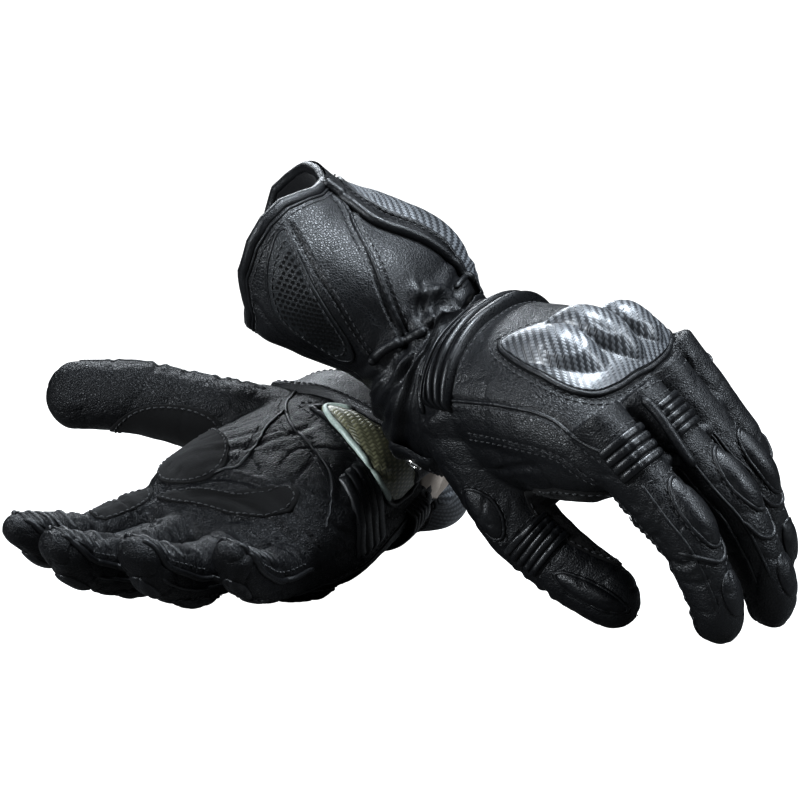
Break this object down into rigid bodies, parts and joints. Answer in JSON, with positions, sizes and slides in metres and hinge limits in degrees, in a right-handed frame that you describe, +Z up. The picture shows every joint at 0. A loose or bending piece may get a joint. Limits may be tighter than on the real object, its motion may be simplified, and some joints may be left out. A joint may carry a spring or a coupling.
{
  "type": "riding gloves",
  "caption": "Pair of long-cuff leather riding gloves with hard knuckle guards, stretch ribs, padded fingers and closing cuffs, one resting over the other.",
  "frame": {"origin": "middle of the bottom of the box round the pair, on the floor", "axes": "+Z up; the picture looks along +Y with +X to its right; the left glove's fingers point to +X and -Y, the right glove's to -X and -Y"},
  "size_m": [0.3444, 0.315, 0.2052],
  "materials": {
    "leather": "grained black leather",
    "suede": "black suede",
    "carbon": "glossy woven carbon look",
    "slider": "olive woven aramid look",
    "piping": "pale grey rubbery rim",
    "steel": "polished metal",
    "cloth": "black lining fabric"
  },
  "bodies": {
    "right_hand": {"right_back_of_hand": "leather", "right_palm": "leather", "right_cuff_shell": "leather", "right_cuff_lining": "cloth", "right_cuff_binding": "leather", "right_cuff_vent_panel": "leather", "right_wrist_stretch_ribs": "leather", "right_knuckle_guard": "carbon", "right_palm_slider": "slider", "right_palm_slider_rim": "piping", "right_palm_grip_patch": "suede", "right_thumb_sleeve": "leather", "right_thumb_base_pad": "leather", "right_thumb_web_patch": "suede", "right_wrist_strap": "leather", "right_strap_rivet": "steel"},
    "right_index": {"right_index_finger": "leather", "right_index_knuckle_pad": "leather", "right_index_stretch_ribs": "leather"},
    "right_middle": {"right_middle_finger": "leather", "right_middle_knuckle_pad": "leather", "right_middle_stretch_ribs": "leather"},
    "right_ring": {"right_ring_finger": "leather", "right_ring_knuckle_pad": "leather"},
    "right_little": {"right_little_finger": "leather"},
    "right_thumb": {"right_thumb_tip": "leather", "right_thumb_tip_pad": "leather", "right_thumb_stretch_ribs": "leather"},
    "right_flap": {"right_cuff_flap": "leather", "right_cuff_slider": "carbon"},
    "left_hand": {"left_back_of_hand": "leather", "left_palm": "leather", "left_cuff_shell": "leather", "left_cuff_lining": "cloth", "left_cuff_binding": "leather", "left_cuff_vent_panel": "leather", "left_wrist_stretch_ribs": "leather", "left_knuckle_guard": "carbon", "left_palm_slider": "slider", "left_palm_slider_rim": "piping", "left_palm_grip_patch": "suede", "left_thumb_sleeve": "leather", "left_thumb_base_pad": "leather", "left_thumb_web_patch": "suede"},
    "left_index": {"left_index_finger": "leather", "left_index_knuckle_pad": "leather", "left_index_stretch_ribs": "leather"},
    "left_middle": {"left_middle_finger": "leather", "left_middle_knuckle_pad": "leather", "left_middle_stretch_ribs": "leather"},
    "left_ring": {"left_ring_finger": "leather", "left_ring_knuckle_pad": "leather"},
    "left_little": {"left_little_finger": "leather"},
    "left_thumb": {"left_thumb_tip": "leather", "left_thumb_tip_pad": "leather", "left_thumb_stretch_ribs": "leather"},
    "left_flap": {"left_cuff_flap": "leather", "left_cuff_slider": "carbon"},
    "left_strap": {"left_wrist_strap": "leather", "left_strap_rivet": "steel"}
  },
  "joints": [
    {"name": "left_glove_lift", "type": "slide", "parent": "right_hand", "child": "left_hand", "axis": [0, 0, 1], "range_m": [0, 0.15]},
    {"name": "left_index_knuckle", "type": "hinge", "parent": "left_hand", "child": "left_index", "pos_m": [0.08836, -0.13195, 0.0829], "axis": [0.6432, 0.697, 0.3171], "range_deg": [-30, 12]},
    {"name": "left_middle_knuckle", "type": "hinge", "parent": "left_hand", "child": "left_middle", "pos_m": [0.10642, -0.11492, 0.09099], "axis": [0.589, 0.7406, 0.3234], "range_deg": [-30, 12]},
    {"name": "left_ring_knuckle", "type": "hinge", "parent": "left_hand", "child": "left_ring", "pos_m": [0.11797, -0.09327, 0.09963], "axis": [0.5247, 0.7853, 0.3286], "range_deg": [-30, 12]},
    {"name": "left_little_knuckle", "type": "hinge", "parent": "left_hand", "child": "left_little", "pos_m": [0.12572, -0.07004, 0.10823], "axis": [0.4418, 0.8334, 0.3322], "range_deg": [-30, 12]},
    {"name": "left_thumb_joint", "type": "hinge", "parent": "left_hand", "child": "left_thumb", "pos_m": [0.06748, -0.08489, 0.03008], "axis": [0.3804, 0.9246, 0.0215], "range_deg": [-10, 12]},
    {"name": "left_cuff_flap_hinge", "type": "hinge", "parent": "left_hand", "child": "left_flap", "pos_m": [-0.0523, 0.02344, 0.17095], "axis": [-0.736, 0.181, 0.6523], "range_deg": [0, 75]},
    {"name": "left_wrist_strap_hinge", "type": "hinge", "parent": "left_hand", "child": "left_strap", "pos_m": [0.03771, -0.00276, 0.11262], "axis": [0.869, -0.4379, -0.2306], "range_deg": [0, 25]},
    {"name": "right_index_knuckle", "type": "hinge", "parent": "right_hand", "child": "right_index", "pos_m": [-0.10935, -0.02474, 0.03957], "axis": [-0.7454, 0.6011, 0.2881], "range_deg": [-10, 45]},
    {"name": "right_middle_knuckle", "type": "hinge", "parent": "right_hand", "child": "right_middle", "pos_m": [-0.09108, -0.04159, 0.03158], "axis": [-0.7901, 0.5516, 0.2675], "range_deg": [-10, 45]},
    {"name": "right_ring_knuckle", "type": "hinge", "parent": "right_hand", "child": "right_ring", "pos_m": [-0.06811, -0.05248, 0.02607], "axis": [-0.8357, 0.4926, 0.2428], "range_deg": [-10, 45]},
    {"name": "right_little_knuckle", "type": "hinge", "parent": "right_hand", "child": "right_little", "pos_m": [-0.04355, -0.05988, 0.02207], "axis": [-0.8844, 0.4165, 0.2106], "range_deg": [-10, 45]},
    {"name": "right_thumb_joint", "type": "hinge", "parent": "right_hand", "child": "right_thumb", "pos_m": [-0.11342, 0.02828, 0.08537], "axis": [0.0502, 0.9801, -0.192], "range_deg": [-10, 35]},
    {"name": "right_cuff_flap_hinge", "type": "hinge", "parent": "right_hand", "child": "right_flap", "pos_m": [0.01704, 0.15092, 0.05594], "axis": [0.0585, -0.9594, 0.2761], "range_deg": [0, 75]}
  ]
}
